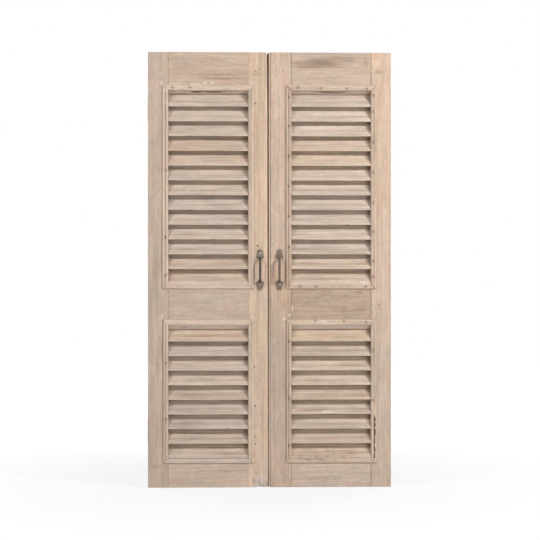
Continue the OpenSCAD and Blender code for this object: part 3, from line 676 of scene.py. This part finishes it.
for side in SIDES:
    for bank in BANKS:
        low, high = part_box(f"{side}_{bank}_slats")
        left, right = joint_xs[:2] if side == "left" else joint_xs[2:]
        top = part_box(f"{side}_{bank}_top_bead")[0].z
        foot = top - FILLET_H[bank]
        bm = bmesh.new()
        bmesh.ops.create_cube(bm, size=1.0, matrix=Matrix.Translation(((left + right) / 2, 0, (top + foot) / 2))
                              @ Matrix.Diagonal((right - left, 1, top - foot, 1)))
        foot_y = low.y + (foot - high.z + RISE) * math.tan(LEAN)
        for v in bm.verts:
            slat_y = low.y + (v.co.z - high.z + RISE) * math.tan(LEAN)
            v.co.y = slat_y if v.co.y > 0 else foot_y - FILLET_T
        slice_evenly(bm, 0, left, right, 5 * MM)
        slice_at(bm, 2, [foot + 2 * MM])
        maps = add_maps(bm, (0.0, 0.0), (0.6, 0.6))
        for v in bm.verts:
            patch = noise.noise(Vector((v.co.x * 16, len(bank), v.co.z * 60)))
            v[maps["paint"]] = 0.75 + 0.5 * patch
            sag = sag_at(v.co.x, SAGS.get(f"{side}_{bank}", []))
            if v.co.z < foot + 1 * MM:
                v.co.z += (0.4 + patch - sag) * MM
            # Painted shade: where a fillet has sagged, its top is painted dark, like the gap above it.
            elif v.co.z > top - 1 * MM:
                v.co.z -= SAG * sag
                v[maps["grime_and_shade"]] = sag
        as_piece(f"{side}_{bank}_fillet", bm, f"{side}_leaf", "bead_wood", slat_finish)
print("fillets: 4")

# %% [markdown]
# ## Beads
#
# A bead is a thin moulding with a round nose, planted on the face round each opening and mitred at the corners. It
# was made by a hand plane in long lengths, so its section is the same all along, and only wear breaks it: the copy is
# sliced along its length and every corner is shifted a little. Rain stood on the level beads: old paint fills their
# groove, and the bottom ones have lost their nose. The outer edge of a ring is lost in places, by the millimetres that
# are given for its left, right, top and bottom. Dirt and painted shade sit along the foot, so the foot is drawn out a
# little to show them.
# The level beads have shrunk, so some mitres gape, by the millimetres that are given by leaf, bank, bead and end.
# Two corners of the left leaf are rubbed round, and the edge of one bead of the right leaf has broken away in places,
# where the breaks are painted dark as shade.
# Corners of level beads that now lie on one place are merged. The noise has a seed, or it would start from the clock.

# %% What wears a bead
OUTWARDS = {"top": (2, 1), "bottom": (2, -1), "left_hinge": (0, -1), "left_meeting": (0, 1), "right_hinge": (0, 1),
            "right_meeting": (0, -1)}
BAND_H, NOSE_W, FOOT_W, FOOT_H, EDGE_W = 4.5 * MM, 9 * MM, 1.1 * MM, 1.5 * MM, 4.1 * MM
BREAKS = [(-482, 10), (-500, 14), (-524, 18), (-552, 14), (-578, 14), (-598, 12)]
BREAK_FROM, BREAK_TO = 3, 9.6
SHIFT, SHIFTS_PER_M = 0.35 * MM, 38
noise.seed_set(7)


def trim(co, ring_low, ring_high, lost):
    """Brings a corner of a bead back inside the edges that are left of its ring."""
    left, right, top, bottom = [loss * MM for loss in lost]
    co.x = min(max(co.x, ring_low.x + left), ring_high.x - right)
    co.z = min(max(co.z, ring_low.z + bottom), ring_high.z - top)


def wear_bead(bm, maps, box, ring, side, turn, dirt_and_shade):
    """Wears a bead's section, and stores dirt and painted shade along its foot and the pale wear on its outer edge."""
    low, high = box
    upright = turn in ("meeting", "hinge")
    line, way = OUTWARDS[f"{side}_{turn}" if upright else turn]
    for v in bm.verts:
        past_nose = abs(v.co.z - (low.z if turn == "top" else high.z)) - NOSE_W
        if not upright and past_nose > -0.5 * MM and face_y - v.co.y > 3 * MM:
            v.co.y = face_y - BAND_H
        if turn == "bottom":
            v.co.y = max(v.co.y, face_y - BAND_H - 0.4 * MM)
        trim(v.co, *ring)
        foot = 1 - (face_y - v.co.y) / FOOT_H
        # Dirt and painted shade along the foot of the bead.
        v[maps["grime_and_shade"]] = max(v[maps["grime_and_shade"]], min(1.0, foot) * dirt_and_shade)
        if ((high if way > 0 else low)[line] - v.co[line]) * way < EDGE_W:
            v.co[line] += way * FOOT_W * (foot > 0)
            v[maps["worn"]] = 0.8 * (foot < 0)
        shift = noise.noise_vector(v.co * SHIFTS_PER_M) * SHIFT
        v.co.y += abs(shift.y) * (foot < 0)
        v.co[line] += shift.x * (foot < 0)


def open_mitre(bm, end, inwards, outer, gap):
    """Draws one end of a level bead back from its mitre, and stretches the wood behind it."""
    for v in bm.verts:
        past = (v.co.x - end) * inwards - abs(v.co.z - outer)
        v.co.x += inwards * gap * max(0.0, 1 - past / (25 * MM))


def rub_corner(bm, x, z, radius):
    """Rounds the lower left corner of a ring of beads, seen from the front."""
    for v in bm.verts:
        arm = Vector((v.co.x - x - radius, 0, v.co.z - z - radius))
        if arm.x < 0 and arm.z < 0 and arm.length > radius:
            v.co -= arm * (1 - radius / arm.length)


def break_edge(bm, maps, outer):
    """Takes pieces out of an upright bead beside its groove, wider in the middle, and paints the breaks dark as shade.
    """
    for v in bm.verts:
        gone = max(math.exp(-(((v.co.z / MM - z) / half) ** 2)) for z, half in BREAKS)
        inside = (outer - v.co.x) / MM
        gone += 0.45 * noise.noise(Vector((inside, 0.0, v.co.z * 110)))
        needed = 0.35 if inside > 8 else 0.6 if inside > 5.5 else 0.95
        if BREAK_FROM < inside < BREAK_TO and gone > needed:
            v.co.y = max(v.co.y, face_y - 0.6 * MM)
            # Painted shade: the broken places are painted dark.
            v[maps["grime_and_shade"]] = 1.0


print("breaks in one bead:", len(BREAKS))

# %% Bead mouldings
BEAD_STEP = 4.5 * MM
# Each turn of bead gets a tone, and a share of dirt and painted shade along its foot.
BEAD_TONES = {"top": (0.2, 0.35), "meeting": (-0.05, 0.6), "bottom": (0.1, 0.9), "hinge": (0.3, 0.6)}
LEAF_TONES = {"left": (0.35, 0.3), "right": (0.0, 0.2)}
GREY_BEAD, GREY_TONES = "left_lower_bottom_bead", (-0.15, 0.65)
LOST = {"left_upper": (0, 0, 0, 4), "left_lower": (3.8, 0, 0, 4), "right_upper": (2.8, 0, 0, 4),
        "right_lower": (4, 0, 0, 4)}
TIGHT = 0.3
MITRES = {
    "right_upper_top_meeting": 3.0, "left_upper_top_hinge": 1.6, "left_lower_top_meeting": 1.6,
    "right_upper_bottom_hinge": 1.6, "right_lower_bottom_hinge": 1.2, "right_upper_top_hinge": 1.6,
}
RUBBED_R = 13 * MM
CRACKED, CRACK_CUTS = "right_lower_hinge_bead", (6.5 * MM, 4.5 * MM)
bead_pieces = []
for side, bank, turn in product(SIDES, BANKS, BEAD_TONES):
    ring = f"{side}_{bank}"
    ring_low, ring_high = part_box(f"{ring}_bottom_bead")[0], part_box(f"{ring}_top_bead")[1]
    node = f"{ring}_{turn}_bead"
    axis = UPRIGHT if turn in ("meeting", "hinge") else LEVEL
    bm = solid_copy(node)
    low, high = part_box(node)
    slice_evenly(bm, axis, low[axis], high[axis], BEAD_STEP)
    if node == CRACKED:
        slice_at(bm, LEVEL, [high.x - cut for cut in CRACK_CUTS])
    (tone, dirt_and_shade), (leaf_tone, grey) = BEAD_TONES[turn], LEAF_TONES[side]
    tone, grey = GREY_TONES if node == GREY_BEAD else (tone + leaf_tone, grey)
    maps = add_maps(bm, (tone, tone), (grey, grey))
    wear_bead(bm, maps, (low, high), (ring_low, ring_high, LOST[ring]), side, turn, dirt_and_shade)
    if axis == LEVEL:
        outer = high.z if turn == "top" else low.z
        left_end, right_end = ("hinge", "meeting") if side == "left" else ("meeting", "hinge")
        for end, x, inwards in ((left_end, low.x, 1), (right_end, high.x, -1)):
            open_mitre(bm, x, inwards, outer, MITRES.get(f"{ring}_{turn}_{end}", TIGHT) * MM)
        bmesh.ops.remove_doubles(bm, verts=bm.verts, dist=SAME_PLACE)
    if side == "left" and turn in ("hinge", "bottom"):
        rub_corner(bm, ring_low.x + LOST[ring][0] * MM, ring_low.z, RUBBED_R)
    if node == CRACKED:
        break_edge(bm, maps, high.x)
    finish = upright_bead_finish if axis == UPRIGHT else level_bead_finish
    bead_pieces.append(as_piece(f"{node}_worn", bm, f"{side}_leaf", "bead_wood", finish, node))
print("beads:", len(bead_pieces))

# %% [markdown]
# ## Forged iron
#
# The pulls are hammered from black iron and then waxed by use: dark grey-brown, half matt, with dull hammer marks and
# rust in the hollows. Bare metal shows only on worn high spots, so the metal share stays low and the colour does most
# of the work. Hammer marks on such small work are about 4 mm wide. Hands keep the grips darker than the spade ends.

# %% Iron finish
def forged_iron(name, dark, pale, rust, roughness, seed, grip=None):
    """Hammered iron between two greys, with rust in patches. A pull's grip can have its own colour."""
    finish, tree, shader = new_finish(name)
    here = put(tree, "ShaderNodeTexCoord", {}).outputs["Object"]
    place = put(tree, "ShaderNodeMapping", {"Vector": here, "Location": (seed, 0, seed)}).outputs["Vector"]
    marks = put(tree, "ShaderNodeTexNoise", {"Vector": place, "Scale": 1 / (4 * MM), "Detail": 3.0,
                                             "Roughness": 0.5}).outputs["Fac"]
    patches = put(tree, "ShaderNodeTexNoise", {"Vector": place, "Scale": 1 / (14 * MM), "Detail": 5.0,
                                               "Roughness": 0.7}).outputs["Fac"]
    colour = put(tree, "ShaderNodeValToRGB", {"Fac": marks}, stops=[(0.3, dark), (0.7, pale)]).outputs["Color"]
    share = put(tree, "ShaderNodeMapRange", {0: patches, 1: 0.48, 2: 0.68, 3: 0.0, 4: 0.6}).outputs[0]
    colour = put(tree, "ShaderNodeMix", {0: share, 6: colour, 7: linear(rust)}, data_type="RGBA").outputs[2]
    if grip:
        height = put(tree, "ShaderNodeSeparateXYZ", {"Vector": here}).outputs["Z"]
        height = put(tree, "ShaderNodeMath", {0: height}, operation="ABSOLUTE").outputs[0]
        share = put(tree, "ShaderNodeMapRange", {0: height, 1: 36 * MM, 2: 46 * MM, 3: 0.75, 4: 0.0}).outputs[0]
        colour = put(tree, "ShaderNodeMix", {0: share, 6: colour, 7: linear(grip)}, data_type="RGBA").outputs[2]
    rough = put(tree, "ShaderNodeMapRange", {0: patches, 1: 0.3, 2: 0.7, 3: roughness, 4: 0.85}).outputs[0]
    dents = put(tree, "ShaderNodeBump", {"Height": marks, "Strength": 0.5, "Distance": 0.0008})
    tree.links.new(colour, shader.inputs["Base Color"])
    tree.links.new(rough, shader.inputs["Roughness"])
    tree.links.new(dents.outputs["Normal"], shader.inputs["Normal"])
    shader.inputs["Metallic"].default_value = 0.35
    return finish


GRIPS = {"left": "#3F332B", "right": "#63554B"}
pull_finishes = {
    side: forged_iron(f"forged_iron_{side}_pull", "#574A40", "#A39585", "#725845", 0.42, 3.0, grip)
    for side, grip in GRIPS.items()
}
hinge_finish = forged_iron("rusty_iron_hinge", "#5A4D44", "#857A70", "#7A4F35", 0.5, 8.0)
brad_finish = forged_iron("rusty_iron_brads", "#3A2C25", "#574438", "#6A4430", 0.6, 12.0)
# The pale colours of the rubbed nail also paint a glint on its head.
bare_iron_and_glint_finish = forged_iron("worn_bright_iron", "#8D8278", "#C6BDB4", "#85766A", 0.3, 15.0)
print("iron finishes:", [m.name for m in bpy.data.materials if "iron" in m.name])

# %% [markdown]
# ## Brads
#
# The beads are held by small headed brads, rusted dark. Each is a low dome that stands 1 mm out of the wood. Where it
# sits on the round bead is found by a ray from the front. The stain map has already drawn the rust round it.

# %% Brads in the beads
BRAD_R, BRAD_FLATNESS = 1.9 * MM, 0.5
skins = [BVHTree.FromPolygons([v.co for v in piece.data.vertices], [f.vertices[:] for f in piece.data.polygons])
         for piece in bead_pieces]
domes = {side: bmesh.new() for side in SIDES}
for x, z in BRADS:
    start = Vector((x * MM, face_y - 50 * MM, z * MM))
    hits = [hit[0] for hit in (skin.ray_cast(start, Vector((0, 1, 0))) for skin in skins) if hit[0]]
    seat = min(hits, key=lambda co: co.y)
    flat = Matrix.Diagonal((1, BRAD_FLATNESS, 1, 1))
    bmesh.ops.create_uvsphere(domes["left" if x < 0 else "right"], u_segments=8, v_segments=5, radius=BRAD_R,
                              matrix=Matrix.Translation(seat) @ flat)
for side, bm in domes.items():
    piece = as_piece(f"{side}_bead_brads", bm, f"{side}_leaf", "pull_iron", brad_finish)
    print(piece.name, len(piece.data.polygons) // 40, "brads")

# %% [markdown]
# ## Pulls
#
# Each pull is one forged bar: a round grip, two necks that bend back to the wood, and two flat spade ends. The CAD
# solid has the right shape, but its parts meet in sharp lines where a smith would draw the metal out. A voxel remesh
# turns the copy into one skin, and smoothing lets that skin flow round the corners.

# %% Pulls
for side in SIDES:
    node = f"{side}_pull"
    piece = as_piece(f"{node}_forged", solid_copy(node), f"{side}_leaf", "pull_iron", pull_finishes[side], node)
    skin = piece.modifiers.new("one_skin", "REMESH")
    skin.mode = "VOXEL"
    skin.voxel_size = 0.7 * MM
    skin.use_smooth_shade = True
    flow = piece.modifiers.new("drawn_out", "SMOOTH")
    flow.factor = 0.5
    flow.iterations = 6
    print(piece.name, "from", len(piece.data.polygons), "faces")

# %% [markdown]
# ## Small iron and pegs
#
# Hinge plates, pins, screws and the pulls' nails have the right shape in the CAD model, so they stay. A weld joins
# their loose triangles and a fine bevel takes off their sharp edges. The pegs are oak. Those of the right leaf are
# darker than the wood round them, because water stood in their end grain. The upper nail of the left pull was rubbed
# bright, and its pale colour also paints a glint on its head, so the nails of that pull become two pieces with a
# finish each.

# %% Finish the CAD nodes that stay
peg_finish = bleached_wood("bleached_oak_pegs", UPRIGHT, [
    (0.28, "#B9A18A"), (0.42, "#C9B09A"), (0.52, "#CFB7A1"), (0.62, "#CDB29F"), (0.75, "#D2BCA3")], 6, 25.0)
dark_peg_finish = bleached_wood("stained_oak_pegs", UPRIGHT, [
    (0.28, "#9E8874"), (0.42, "#B09A85"), (0.52, "#BAA48F"), (0.62, "#B79E8A"), (0.75, "#BEA790")], 6, 29.0)
IRON_NODES = [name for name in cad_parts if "hinge_" in name and "stile" not in name and "bead" not in name]
PEG_NODES = [f"{side}_tenon_pegs" for side in SIDES] + ["frame_pegs"]


def dress_node(name, finish, arris):
    """Keeps a CAD node and gives it a finish and soft edges."""
    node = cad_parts[name]
    for slot in node.material_slots:
        slot.material = finish
    weld = node.modifiers.new("join_triangles", "WELD")
    weld.merge_threshold = SAME_PLACE
    soften = node.modifiers.new("soft_edges", "BEVEL")
    soften.width = arris
    soften.segments = 2
    soften.limit_method = "ANGLE"
    soften.angle_limit = math.radians(40)


for name in IRON_NODES:
    dress_node(name, hinge_finish, 0.3 * MM)
dress_node("right_pull_nails", pull_finishes["right"], 0.2 * MM)
for name in PEG_NODES:
    dress_node(name, dark_peg_finish if name.startswith("right") else peg_finish, 0.4 * MM)
print("kept CAD nodes:", len(IRON_NODES + PEG_NODES) + 1)

# %% The two nails of the left pull
low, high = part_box("left_pull_nails")
for place, finish in (("upper", bare_iron_and_glint_finish), ("lower", pull_finishes["left"])):
    bm = solid_copy("left_pull_nails")
    other = [v for v in bm.verts if (v.co.z > (low.z + high.z) / 2) == (place == "lower")]
    bmesh.ops.delete(bm, geom=other, context="VERTS")
    piece = as_piece(f"left_{place}_pull_nail", bm, "left_leaf", "pull_iron", finish, "left_pull_nails")
    print(piece.name, len(piece.data.polygons), "faces")

# %% [markdown]
# ## The hanging frame
#
# The frame carries the hinges and lies behind the closed leaves. It was never bleached, so it is a little darker. Its
# four boards are worn the same way as those of the leaves.

# %% Frame boards
COARSE_GRID, FRAME_NIBBLE, FRAME_SEED = 16 * MM, 0.6 * MM, 20
for number, node in enumerate(("frame_left_jamb", "frame_right_jamb", "frame_head", "frame_sill")):
    bm = solid_copy(node)
    low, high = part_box(node)
    if number > 1:
        low.x, high.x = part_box("frame_left_jamb")[1].x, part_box("frame_right_jamb")[0].x
    round_arrises(bm, low, high)
    slice_evenly(bm, 0, low.x, high.x, COARSE_GRID)
    slice_evenly(bm, 2, low.z, high.z, COARSE_GRID)
    weather(bm, low, high, FRAME_SEED + number, FRAME_NIBBLE, (0.0, 0.0))
    as_piece(f"{node}_board", bm, "frame", "frame_wood", frame_finish, node)
print("frame boards: 4")

# %% [markdown]
# ## Floor and light
#
# The photograph is a cut-out on white. A pale floor and a white world stand in for that: to the camera and to
# reflections both are white, and for everything else the floor is an ordinary matt surface that catches a soft
# shadow. One soft lamp stands to the right and above, as the shadows of the pulls show, and a weaker one on the left
# fills in. Two more stand low beside them and look in under the slats, so that the gaps between them turn brown and
# not black, apart from their ends. Two lamps behind do the same for the back.

# %% Floor
def seen_directly(tree):
    """1 where the camera, a reflection or a pane looks at a thing, and 0 for the light that falls on it."""
    path = put(tree, "ShaderNodeLightPath", {}).outputs
    seen = path["Is Camera Ray"]
    for kind in ("Is Glossy Ray", "Is Transmission Ray"):
        seen = put(tree, "ShaderNodeMath", {0: seen, 1: path[kind]}, operation="MAXIMUM").outputs[0]
    return seen


FLOOR_SIZE, FLOOR_PLAY = 6.0, 0.3 * MM
floor_bm = bmesh.new()
bmesh.ops.create_grid(floor_bm, x_segments=2, y_segments=2, size=FLOOR_SIZE,
                      matrix=Matrix.Translation((0, 0, cad_low.z - FLOOR_PLAY)))
floor_mesh = bpy.data.meshes.new("floor")
floor_bm.to_mesh(floor_mesh)
floor_bm.free()
floor = bpy.data.objects.new("floor", floor_mesh)
bpy.context.collection.objects.link(floor)
floor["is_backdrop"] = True
floor_finish, tree, matt = new_finish("pale_studio_floor")
matt.inputs["Base Color"].default_value = linear("#F2F0ED")
matt.inputs["Roughness"].default_value = 0.9
place = put(tree, "ShaderNodeTexCoord", {}).outputs["Object"]
away = put(tree, "ShaderNodeVectorMath", {0: place}, operation="LENGTH").outputs["Value"]
fade = put(tree, "ShaderNodeMapRange", {0: away, 1: 0.75, 2: 1.7, 3: 0.75, 4: 1.0}).outputs[0]
share = put(tree, "ShaderNodeMath", {0: seen_directly(tree), 1: fade}, operation="MULTIPLY").outputs[0]
white = put(tree, "ShaderNodeEmission", {"Color": linear("#FFFFFF"), "Strength": 1.04}).outputs[0]
mixed = put(tree, "ShaderNodeMixShader", {0: share, 1: matt.outputs[0], 2: white}).outputs[0]
tree.links.new(mixed, tree.nodes["Material Output"].inputs["Surface"])
floor_mesh.materials.append(floor_finish)
print("floor at z", round(cad_low.z, 4))

# %% World and lamps
world = bpy.data.worlds.new("white_studio")
bpy.context.scene.world = world
world.use_nodes = True
tree = world.node_tree
strength = put(tree, "ShaderNodeMapRange", {0: seen_directly(tree), 3: 0.03, 4: 1.0}).outputs[0]
tree.links.new(strength, tree.nodes["Background"].inputs["Strength"])
tree.nodes["Background"].inputs["Color"].default_value = linear("#FFFFFF")


def lamp(name, turn, rise, distance, size, watts):
    """A square soft lamp that looks at the middle of the pair, from turn degrees to the right and rise degrees up."""
    light = bpy.data.lights.new(name, "AREA")
    light.shape = "SQUARE"
    light.size = size
    light.energy = watts
    stand = bpy.data.objects.new(name, light)
    a, e = math.radians(turn), math.radians(rise)
    aim = Vector((0, face_y, 0))
    away = Vector((math.sin(a) * math.cos(e), -math.cos(a) * math.cos(e), math.sin(e)))
    stand.location = aim + away * distance
    stand.rotation_euler = away.to_track_quat("Z", "Y").to_euler()
    bpy.context.collection.objects.link(stand)
    return stand


lamps = [
    lamp("key_lamp", 52, 28.3, 4.0, 0.4, 93), lamp("fill_lamp", -50, 28.3, 4.0, 0.4, 58),
    lamp("low_key_lamp", 40, 2, 4.0, 0.5, 26), lamp("low_fill_lamp", -42, 2, 4.0, 0.5, 9),
    lamp("back_right_lamp", 142, 4, 4.0, 1.2, 62), lamp("back_left_lamp", -138, 4, 4.0, 1.2, 50),
]
bpy.context.scene.view_settings.view_transform = "Standard"
print("lamps:", [stand.name for stand in lamps])

# %% [markdown]
#
# The CAD box and the box of the dressed model are both printed, so that they can be set side by side.

# %% Finish
low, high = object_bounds()
print("visual box in metres:", [round(side, 4) for side in high - low])
